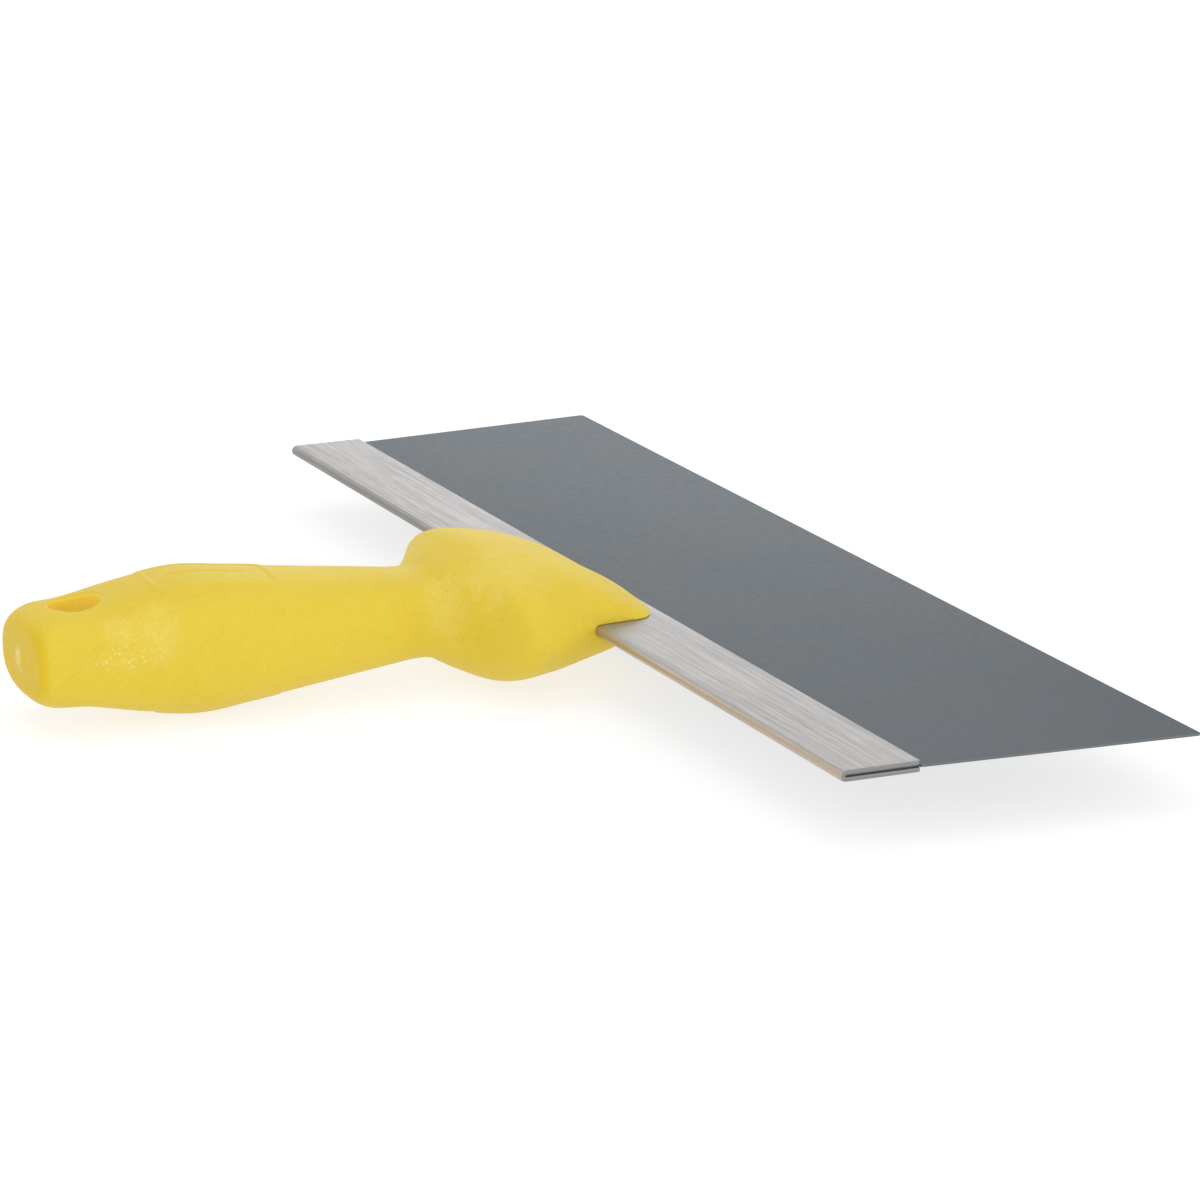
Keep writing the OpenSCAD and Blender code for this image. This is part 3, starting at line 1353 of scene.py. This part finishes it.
@dataclass
class SharedGroups:
    """Builds each shared shader node group once."""

    coarse_share: float = 0.65
    wide_share: float = 0.55
    narrow_scale: float = 4.3
    ragged_scale: float = 260.0
    ragged_reach: float = 2.0
    patch_edge: Span = (1.1, 2.1)
    dot_edge: Span = (0.15, 0.6)
    dot_chance: Span = (0.25, 0.95)
    haze_top: float = 1.3
    made: dict[GroupName, bpy.types.NodeTree] = field(default_factory=dict)

    def get(self, name: GroupName) -> bpy.types.NodeTree:
        """Gives the group of a name, built when it is first asked for.

        Args:
            name: Which group.

        Returns:
            Its node tree.
        """
        if name not in self.made:
            makers = {
                GroupName.MOTTLE: self._mottle,
                GroupName.STREAKS: self._streaks,
                GroupName.SPECKS: self._specks,
            }
            self.made[name] = makers[name]()
        return self.made[name]

    @staticmethod
    def _start(
        name: GroupName, inputs: dict[str, Socket], outputs: Sequence[str]
    ) -> tuple[NodeBuilder, bpy.types.bpy_prop_collection]:
        """Opens a new group that reads coordinates, with named sockets.

        Args:
            name: The group's name.
            inputs: The kind of each input after the coordinates, by name.
            outputs: The names of its outputs, which are all numbers.

        Returns:
            A builder for the group, and what its input node gives.
        """
        build = NodeBuilder(bpy.data.node_groups.new(name.value, "ShaderNodeTree"))
        build.sockets("INPUT", {"Vector": Socket.VECTOR, **inputs})
        build.sockets("OUTPUT", {label: Socket.NUMBER for label in outputs})
        return build, build.add("NodeGroupInput").outputs

    def _mottle(self) -> bpy.types.NodeTree:
        """Two sizes of soft cloud, as one value around a half.

        Returns:
            The group's tree.
        """
        scales = {"Coarse Scale": Socket.NUMBER, "Fine Scale": Socket.NUMBER}
        build, given = self._start(GroupName.MOTTLE, scales, ("Value", "Fine"))
        coarse = build.noise(given["Vector"], given["Coarse Scale"], 3.0)
        fine = build.noise(given["Vector"], given["Fine Scale"], 4.0)
        build.add("NodeGroupOutput", Value=build.weigh(coarse, fine, self.coarse_share), Fine=fine)
        return build.tree

    def _streaks(self) -> bpy.types.NodeTree:
        """Streaks that run along X, as a value and a height.

        Returns:
            The group's tree.
        """
        scales = {"Across": Socket.NUMBER, "Along": Socket.NUMBER}
        build, given = self._start(GroupName.STREAKS, scales, ("Value", "Height"))
        stretch = build.add("ShaderNodeCombineXYZ", X=given["Along"], Y=given["Across"], Z=given["Across"])
        scaled = build.vector("MULTIPLY", given["Vector"], stretch.outputs["Vector"]).outputs["Vector"]
        wide = build.noise(scaled, 1.0, 5.0, 0.65)
        narrow = build.noise(scaled, self.narrow_scale, 4.0, 0.7)
        build.add("NodeGroupOutput", Value=build.weigh(wide, narrow, self.wide_share), Height=narrow)
        return build.tree

    def _specks(self) -> bpy.types.NodeTree:
        """A ragged patch of small pale specks around a place, as a mask, with a soft haze under them.

        Returns:
            The group's tree.
        """
        inputs = {
            "Centre": Socket.VECTOR,
            "Reach": Socket.VECTOR,
            "Speck Scale": Socket.NUMBER,
            "Amount": Socket.NUMBER,
        }
        build, given = self._start(GroupName.SPECKS, inputs, ("Mask", "Haze"))
        away = build.vector("SUBTRACT", given["Vector"], given["Centre"])
        share = build.vector("DIVIDE", away.outputs["Vector"], given["Reach"])
        length = build.vector("LENGTH", share.outputs["Vector"]).outputs["Value"]
        ragged = build.noise(given["Vector"], self.ragged_scale, 5.0, 0.7)
        edge = build.math("ADD", length, build.math("MULTIPLY", ragged, self.ragged_reach))
        patch = build.spread(edge, self.patch_edge, (1.0, 0.0))
        cells = build.add("ShaderNodeTexVoronoi", Vector=given["Vector"], Scale=given["Speck Scale"])
        dots = build.spread(cells.outputs["Distance"], self.dot_edge, (1.0, 0.0))
        shades = build.add("ShaderNodeSeparateColor", Color=cells.outputs["Color"])
        chance = build.spread(shades.outputs["Red"], self.dot_chance)
        dots = build.math("MULTIPLY", build.math("MULTIPLY", dots, chance), given["Amount"])
        haze = build.math("MULTIPLY", patch, build.math("SUBTRACT", self.haze_top, given["Amount"]))
        build.add("NodeGroupOutput", Mask=build.math("MULTIPLY", dots, patch), Haze=haze)
        return build.tree


GROUPS = SharedGroups()


@dataclass(frozen=True)
class MaterialStart:
    """A new material with its shader, coordinates and a builder."""

    material: bpy.types.Material
    build: NodeBuilder
    shader: bpy.types.Node
    place: bpy.types.NodeSocket

    @classmethod
    def new(cls, name: str) -> "MaterialStart":
        """Makes a node material that reads Object coordinates.

        Args:
            name: The material's name.

        Returns:
            The start of the material.
        """
        material = bpy.data.materials.new(name)
        material.use_nodes = True
        material.node_tree.nodes.clear()
        build = NodeBuilder(material.node_tree)
        shader = build.add("ShaderNodeBsdfPrincipled")
        build.add("ShaderNodeOutputMaterial", Surface=shader.outputs["BSDF"])
        place = build.add("ShaderNodeTexCoord").outputs["Object"]
        return cls(material, build, shader, place)

    def group(self, name: GroupName, **inputs: object) -> bpy.types.Node:
        """Places a shared group and sets its inputs.

        Args:
            name: Which group.
            inputs: Values for its inputs, by name with underscores for spaces.

        Returns:
            The group node.
        """
        node = self.build.tree.nodes.new("ShaderNodeGroup")
        node.node_tree = GROUPS.get(name)
        self.build.join(self.place, node.inputs["Vector"])
        for label, value in inputs.items():
            node.inputs[label.replace("_", " ")].default_value = value
        return node

    def axes(self) -> bpy.types.bpy_prop_collection:
        """The coordinates' own X, Y and Z."""
        return self.build.add("ShaderNodeSeparateXYZ", Vector=self.place).outputs

    def feed(self, name: str, source: bpy.types.NodeSocket) -> None:
        """Joins an output to one of the shader's inputs."""
        self.build.join(source, self.shader.inputs[name])

    def put(self, **values: object) -> None:
        """Sets plain values on the shader's own inputs, by name with underscores for spaces."""
        for name, value in values.items():
            self.shader.inputs[name.replace("_", " ")].default_value = value

    def bump(
        self, height: bpy.types.NodeSocket, strength: float, distance: float, under: object = None
    ) -> bpy.types.NodeSocket:
        """Adds a Bump node.

        Args:
            height: The height's output.
            strength: How strong it is, 0 to 1.
            distance: How high the full height stands, in metres.
            under: A normal that it builds on, if any.

        Returns:
            The bumped normal's output.
        """
        node = self.build.add("ShaderNodeBump", Height=height, Strength=strength, Distance=distance)
        if under is not None:
            self.build.join(under, node.inputs["Normal"])
        return node.outputs["Normal"]


# ---------------------------------------------------------------- finishes


@dataclass(frozen=True)
class SpeckAndHazePatch:
    """A pale patch of foam splay in the plastic, in mm on the knife's axis; at the gate, a painted highlight.
    """

    centre: Place
    reach: Place
    speck_scale: float
    amount: float

    def build(self, start: MaterialStart) -> bpy.types.bpy_prop_collection:
        """Places the patch in a material.

        Args:
            start: The material.

        Returns:
            What the patch's group gives: its mask and its haze.
        """
        centre, reach = AXIS.point(*self.centre), Vector(self.reach) * MM
        node = start.group(
            GroupName.SPECKS, Centre=centre, Reach=reach, Speck_Scale=self.speck_scale, Amount=self.amount
        )
        return node.outputs


@dataclass(frozen=True)
class MouldedPlastic:
    """Satin yellow plastic with a faint pebble grain and pale foam splay in places.

    The splay shows on the palm's sides and the back of the head; a pale haze at the gate mark is a painted
    highlight. The flat end has painted shade, and the hang hole's wall a painted glow from emission.
    """

    colour: Colour = srgb(222, 195, 58)
    deep: Colour = srgb(219, 190, 52)
    cloud_scale: float = 28.0
    pebble_cloud_scale: float = 420.0
    cloud_span: Span = (0.38, 0.62)
    grain_scale: float = 2300.0
    grain_shade: Span = (0.978, 1.028)
    even_span: Span = (0.3, 0.7)
    # Painted shade: a deeper yellow on the flat end of the handle.
    butt_painted_shade: Colour = srgb(219, 184, 10)
    butt_shade_share: float = 0.85
    butt_shade_fade: Span = (0.5, 3.0)
    # Pale splay colour, also laid around the gate mark as a painted highlight.
    splay: Colour = srgb(244, 232, 160)
    speck_share: float = 0.75
    haze_share: float = 0.12
    # Painted highlight: a pale haze around the gate mark's bump.
    gate_highlight_share: float = 0.45
    gate_highlight_patch: SpeckAndHazePatch = SpeckAndHazePatch((0.0, -116.6, 0.0), (3.4, 1.0, 3.4), 1500.0, 0.3)
    patches: tuple[SpeckAndHazePatch, ...] = (
        SpeckAndHazePatch((14.5, -98.7, 1.8), (9.0, 9.0, 3.6), 1450.0, 1.0),
        SpeckAndHazePatch((15.5, -91.5, 6.0), (9.0, 7.0, 7.5), 1500.0, 0.35),
        SpeckAndHazePatch((13.5, -99.0, 7.0), (7.0, 5.0, 3.4), 1500.0, 0.25),
        SpeckAndHazePatch((14.0, -26.5, 5.0), (10.0, 5.0, 10.0), 1300.0, 0.35),
        SpeckAndHazePatch((18.0, -16.0, 9.0), (14.0, 12.0, 9.0), 1500.0, 0.18),
        SpeckAndHazePatch((-17.0, -62.0, 3.0), (8.0, 11.0, 6.0), 1200.0, 0.5),
        SpeckAndHazePatch((-20.0, -20.0, -6.0), (10.0, 6.0, 6.0), 1100.0, 0.6),
        SpeckAndHazePatch((2.0, -48.0, -12.0), (8.0, 12.0, 5.0), 1200.0, 0.5),
    )
    # Painted glow: emission colour on the hang hole's wall, with the sizes of its mask below.
    through: Colour = (0.22, 0.155, 0.03)
    hole_glow_wall: float = 0.4
    hole_glow_depth: Span = (7.0, 12.0)
    hole_glow_middle: float = 0.55
    roughness: float = 0.5
    roughness_change: Span = (-0.05, 0.07)
    pebble_scale: float = 1500.0
    pebble_strength: float = 0.9
    pebble_height: float = 0.00018
    swell_strength: float = 0.35
    speck_height: float = 0.45
    specular: float = 0.27
    subsurface: float = 0.08
    subsurface_radius: Colour = (0.002, 0.0014, 0.0004)

    def make(self) -> bpy.types.Material:
        """Makes the material.

        Returns:
            The finished material.
        """
        start = MaterialStart.new("yellow_moulded_plastic")
        build = start.build
        clouds = start.group(
            GroupName.MOTTLE, Coarse_Scale=self.cloud_scale, Fine_Scale=self.pebble_cloud_scale
        )
        swell = clouds.outputs["Fine"]
        colour = build.mix(build.spread(clouds.outputs["Value"], self.cloud_span), self.deep, self.colour)
        grain = build.noise(start.place, self.grain_scale, 2.0)
        colour = build.shade(colour, build.spread(grain, self.even_span, self.grain_shade))
        # Painted shade on the flat end of the handle.
        colour = build.mix(self._butt_shade_mask(start), colour, self.butt_painted_shade)
        colour, specks = self._with_splay_and_highlight(start, colour)
        start.feed("Base Color", colour)
        # Painted glow: the hang hole's wall gives off a little yellow light.
        start.feed("Emission Color", build.mix(self._hole_glow_mask(start), (0.0, 0.0, 0.0), self.through))
        low, high = self.roughness_change
        span = (self.roughness + low, self.roughness + high)
        start.feed("Roughness", build.spread(swell, self.even_span, span))
        pebble = build.noise(start.place, self.pebble_scale, 2.0)
        height = build.math("ADD", pebble, build.math("MULTIPLY", specks, self.speck_height))
        normal = start.bump(height, self.pebble_strength, self.pebble_height)
        start.feed("Normal", start.bump(swell, self.swell_strength, self.pebble_height, normal))
        start.put(Emission_Strength=1.0, Specular_IOR_Level=self.specular)
        start.put(Subsurface_Weight=self.subsurface, Subsurface_Radius=self.subsurface_radius)
        start.material.cycles.emission_sampling = "NONE"
        return start.material

    def _with_splay_and_highlight(
        self, start: MaterialStart, colour: bpy.types.NodeSocket
    ) -> tuple[bpy.types.NodeSocket, bpy.types.NodeSocket]:
        """Lays the splay's haze and specks over the colour, and the painted highlight around the gate mark.

        Args:
            start: The material.
            colour: The plastic's own colour.

        Returns:
            The colour with splay and the painted highlight, and the mask of the specks.
        """
        build = start.build
        patches = [patch.build(start) for patch in self.patches]
        specks, haze = patches[0]["Mask"], patches[0]["Haze"]
        for patch in patches[1:]:
            specks = build.math("MAXIMUM", specks, patch["Mask"])
            haze = build.math("MAXIMUM", haze, patch["Haze"])
        # Painted highlight: the gate patch's pale haze.
        gate = self.gate_highlight_patch.build(start)["Haze"]
        layers = ((haze, self.haze_share), (gate, self.gate_highlight_share), (specks, self.speck_share))
        for mask, share in layers:
            colour = build.mix(build.math("MULTIPLY", mask, share), colour, self.splay)
        return colour, specks

    def _butt_shade_mask(self, start: MaterialStart) -> bpy.types.NodeSocket:
        """Masks the flat end of the handle, where a deeper colour is painted as shade.

        Args:
            start: The material.

        Returns:
            The mask's output.
        """
        edge = AXIS.point(0.0, HandleShape().butt_y, 0.0).y
        fade = tuple(edge + past * MM for past in self.butt_shade_fade)
        return start.build.spread(start.axes()["Y"], fade, (self.butt_shade_share, 0.0))

    def _hole_glow_mask(self, start: MaterialStart) -> bpy.types.NodeSocket:
        """Masks the hang hole's wall, where a painted glow is laid on as emission, least at mid height.

        Args:
            start: The material.

        Returns:
            The mask's output.
        """
        build, place = start.build, start.axes()
        middle = AXIS.point(0.0, HangHole.y, 0.0)
        across = build.math("POWER", place["X"], 2.0)
        along = build.math("POWER", build.math("SUBTRACT", place["Y"], middle.y), 2.0)
        radius = build.math("SQRT", build.math("ADD", across, along))
        bore = (HangHole.radius * MM, (HangHole.radius + self.hole_glow_wall) * MM)
        wall = build.spread(radius, bore, (1.0, 0.0))
        height = build.math("ABSOLUTE", build.math("SUBTRACT", place["Z"], middle.z))
        depth = tuple(z * MM for z in self.hole_glow_depth)
        return build.math("MULTIPLY", wall, build.spread(height, depth, (self.hole_glow_middle, 1.0)))


@dataclass(frozen=True)
class BrushedAluminium:
    """Mill-finished aluminium, brushed along its length, with painted shade on its ends and painted light on
    its fold.
    """

    name: str = "brushed_aluminium"
    pale: Colour = srgb(180, 177, 175)
    dull: Colour = srgb(163, 161, 159)
    across: float = 1500.0
    along: float = 22.0
    streak_span: Span = (0.25, 0.7)
    cloud_scales: Span = (45.0, 260.0)
    even_span: Span = (0.35, 0.65)
    cloud_shade: Span = (0.92, 1.0)
    # Painted shade: the cut ends are painted darker.
    end_painted_shade: Colour = srgb(143, 142, 141)
    end_shade_fade: Span = (-0.12, -0.02)
    # On the fold: a painted reflection of the yellow handle towards +X, and painted shade towards -X.
    fold_painted_reflection: Colour = srgb(200, 184, 164)
    fold_painted_shade: Colour = srgb(140, 137, 133)
    fold_fade: Span = (0.2, 0.9)
    fold_reflection_to_shade: Span = (-40.0, 40.0)
    fold_painted_share: float = 0.75
    fold_rough: float = 1.2
    roughness: float = 0.42
    roughness_change: Span = (0.1, -0.08)
    bump_strength: float = 0.35
    bump_height: float = 0.00003

    def make(self) -> bpy.types.Material:
        """Makes the material.

        Returns:
            The finished material.
        """
        start = MaterialStart.new(self.name)
        build, place = start.build, start.axes()
        streaks = start.group(GroupName.STREAKS, Across=self.across, Along=self.along).outputs
        coarse, fine = self.cloud_scales
        clouds = start.group(GroupName.MOTTLE, Coarse_Scale=coarse, Fine_Scale=fine).outputs
        colour = build.mix(build.spread(streaks["Value"], self.streak_span), self.dull, self.pale)
        colour = build.shade(colour, build.spread(clouds["Value"], self.even_span, self.cloud_shade))
        end = CHANNEL.half_length * MM
        end_shade_span = tuple(end + fade * MM for fade in self.end_shade_fade)
        cut = build.spread(build.math("ABSOLUTE", place["X"]), end_shade_span)
        back = AXIS.point(0.0, 0.0, 0.0).y
        fold_span = tuple(back + fade * MM for fade in self.fold_fade)
        fold = build.spread(place["Y"], fold_span, (1.0, 0.0))
        # Painted light on the fold: the painted reflection at +X turns to painted shade at -X.
        reflection_shade_span = tuple(x * MM for x in self.fold_reflection_to_shade)
        fold_painted_light = build.mix(build.spread(place["X"], reflection_shade_span), self.fold_painted_shade, self.fold_painted_reflection)
        colour = build.mix(build.math("MULTIPLY", fold, self.fold_painted_share), colour, fold_painted_light)
        # Painted shade on the cut ends.
        start.feed("Base Color", build.mix(cut, colour, self.end_painted_shade))
        rougher, smoother = self.roughness_change
        span = (self.roughness + rougher, self.roughness + smoother)
        rough = build.spread(streaks["Value"], self.even_span, span)
        more = build.spread(fold, (0.0, 1.0), (1.0, self.fold_rough))
        start.feed("Roughness", build.math("MULTIPLY", rough, more))
        start.feed("Normal", start.bump(streaks["Height"], self.bump_strength, self.bump_height))
        start.put(Metallic=1.0)
        return start.material


@dataclass(frozen=True)
class BluedSteel:
    """Satin blue-grey spring steel, faintly mottled by its heat treatment."""

    cool: Colour = srgb(117, 121, 124)
    warm: Colour = srgb(121, 122, 121)
    cloud_scales: Span = (34.0, 520.0)
    cloud_span: Span = (0.42, 0.68)
    warm_share: float = 0.5
    streak_scales: Span = (420.0, 90.0)
    streak_span: Span = (0.35, 0.65)
    streak_shade: Span = (0.99, 1.005)
    edge_tint: Colour = srgb(206, 210, 214)
    fine_span: Span = (0.3, 0.7)
    roughness: float = 0.46
    roughness_change: Span = (-0.02, 0.03)
    bump_strength: float = 0.05
    bump_height: float = 0.00001

    def make(self) -> bpy.types.Material:
        """Makes the material.

        Returns:
            The finished material.
        """
        start = MaterialStart.new("blued_spring_steel")
        build = start.build
        coarse, fine = self.cloud_scales
        clouds = start.group(GroupName.MOTTLE, Coarse_Scale=coarse, Fine_Scale=fine).outputs
        across, along = self.streak_scales
        streaks = start.group(GroupName.STREAKS, Across=across, Along=along).outputs
        tint = build.spread(clouds["Value"], self.cloud_span, (0.0, self.warm_share))
        colour = build.mix(tint, self.cool, self.warm)
        shade = build.spread(streaks["Value"], self.streak_span, self.streak_shade)
        start.feed("Base Color", build.shade(colour, shade))
        low, high = self.roughness_change
        span = (self.roughness + low, self.roughness + high)
        start.feed("Roughness", build.spread(clouds["Fine"], self.fine_span, span))
        start.feed("Normal", start.bump(clouds["Fine"], self.bump_strength, self.bump_height))
        start.put(Metallic=1.0, Specular_Tint=(*self.edge_tint, 1.0))
        return start.material


# ---------------------------------------------------------------- studio


@dataclass(frozen=True)
class SoftLight:
    """One large soft lamp, aimed at the knife, in metres in the frame."""

    name: str
    place: Place
    size: float
    power: float

    def build(self, aim: Vector) -> None:
        """Makes the lamp, turned towards a point.

        Args:
            aim: The point.
        """
        lamp = bpy.data.lights.new(self.name, "AREA")
        lamp.shape, lamp.size, lamp.energy = "DISK", self.size, self.power
        holder = bpy.data.objects.new(self.name, lamp)
        holder.location = self.place
        holder.rotation_euler = (aim - Vector(self.place)).to_track_quat("-Z", "Y").to_euler()
        bpy.context.scene.collection.objects.link(holder)


@dataclass(frozen=True)
class Camera:
    """The camera, by where it stands on the knife's axis in millimetres, and how it is turned in degrees."""

    place: Place = (1091.1, -461.8, 315.7)
    azimuth: float = 66.397
    elevation: float = 14.962
    roll: float = -0.385
    lens: float = 171.17
    sensor: float = 36.0
    clip_end: float = 50.0

    def build(self) -> None:
        """Makes the camera and sets it as the scene's."""
        a, e, r = (math.radians(v) for v in (self.azimuth, self.elevation, self.roll))
        back = Vector((math.sin(a) * math.cos(e), -math.cos(a) * math.cos(e), math.sin(e)))
        level = Vector((math.cos(a), math.sin(a), 0.0))
        upright = back.cross(level)
        right = level * math.cos(r) + upright * math.sin(r)
        up = upright * math.cos(r) - level * math.sin(r)
        turned = Matrix((right, up, back)).transposed().to_4x4()
        lens = bpy.data.cameras.new("camera")
        lens.lens, lens.sensor_width, lens.clip_end = self.lens, self.sensor, self.clip_end
        holder = bpy.data.objects.new("camera", lens)
        holder.matrix_world = Matrix.Translation(AXIS.point(*self.place)) @ turned
        bpy.context.scene.collection.objects.link(holder)
        bpy.context.scene.camera = holder


@dataclass
class Studio:
    """The pale floor, the soft light and the camera."""

    floor_half: float = 6.0
    floor_colour: Colour = (0.3, 0.3, 0.3)
    floor_roughness: float = 0.9
    floor_specular: float = 0.1
    floor_glow: float = 0.73
    world_strength: float = 0.82
    aim: Place = (0.0, 0.0, 0.02)
    lights: tuple[SoftLight, ...] = (
        SoftLight("key", (1.5, -0.45, 1.0), 1.0, 5.0),
        SoftLight("front", (1.2, 1.1, 0.4), 0.8, 2.9),
        SoftLight("far", (-1.15, 0.55, 0.36), 0.6, 0.7),
        SoftLight("top", (0.0, 0.0, 2.2), 2.0, 7.0),
        SoftLight("back", (-1.3, -0.36, 0.5), 0.7, 0.9),
    )

    def build(self) -> None:
        """Builds the whole studio."""
        Camera().build()
        self._floor()
        self._world()
        for light in self.lights:
            light.build(Vector(self.aim))
        view = bpy.context.scene.view_settings
        view.view_transform, view.look, view.exposure, view.gamma = "Standard", "None", 0.0, 1.0

    def _floor(self) -> None:
        """Lays the floor under the knife. It glows a little, as a light table does."""
        half = self.floor_half
        mesh = bpy.data.meshes.new("studio_floor")
        corners = [(-half, -half, 0.0), (half, -half, 0.0), (half, half, 0.0), (-half, half, 0.0)]
        mesh.from_pydata(corners, [], [(0, 1, 2, 3)])
        floor = bpy.data.objects.new("studio_floor", mesh)
        bpy.context.scene.collection.objects.link(floor)
        start = MaterialStart.new("pale_floor")
        start.put(Base_Color=(*self.floor_colour, 1.0), Roughness=self.floor_roughness)
        start.put(Specular_IOR_Level=self.floor_specular)
        start.put(Emission_Color=WHITE, Emission_Strength=self.floor_glow)
        mesh.materials.append(start.material)

    def _world(self) -> None:
        """Sets a plain white surround."""
        world = bpy.data.worlds.new("studio_white")
        bpy.context.scene.world = world
        world.use_nodes = True
        surround = world.node_tree.nodes["Background"]
        surround.inputs["Color"].default_value = WHITE
        surround.inputs["Strength"].default_value = self.world_strength


# ---------------------------------------------------------------- knife


def place_piece(piece: bpy.types.Object, slot: Slot, *nodes: str) -> None:
    """Parents a finished piece to the knife's body, hides the CAD nodes that it stands for, and logs it.

    Args:
        piece: The finished object.
        slot: The record's material slot; not used.
        nodes: The CAD nodes that it stands for.
    """
    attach(piece, Body.KNIFE.value)
    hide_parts(*nodes)
    log.info("%s stands for %s, %d faces", piece.name, ", ".join(nodes), len(piece.data.polygons))


@dataclass
class TapingKnife:
    """The whole knife, piece by piece."""

    handle: Handle = field(default_factory=Handle)
    channel: BackingChannel = field(default_factory=BackingChannel)
    blade: Blade = field(default_factory=Blade)
    rivets: Rivets = field(default_factory=Rivets)
    rivet_finish: BrushedAluminium = BrushedAluminium(
        name="rivet_aluminium", across=500.0, along=500.0, roughness=0.5
    )

    def build(self) -> None:
        """Builds and dresses every piece, and parents it to the knife's body in place of its CAD nodes."""
        handle = self.handle.build()
        handle.data.materials.append(MouldedPlastic().make())
        place_piece(handle, Slot.PLASTIC, "handle")
        channel = self.channel.build()
        channel.data.materials.append(BrushedAluminium().make())
        place_piece(channel, Slot.CHANNEL, "backing_channel")
        blade = self.blade.build()
        blade.data.materials.append(BluedSteel().make())
        place_piece(blade, Slot.BLADE, "blade")
        rivets = self.rivets.build(self.rivet_finish.make())
        place_piece(rivets, Slot.RIVET, "rivet_left", "rivet_centre", "rivet_right")


def main() -> None:
    """Builds the studio and the knife."""
    logging.basicConfig(level=logging.INFO, format="%(name)s: %(message)s")
    Studio().build()
    TapingKnife().build()


if __name__ == "__main__":
    main()
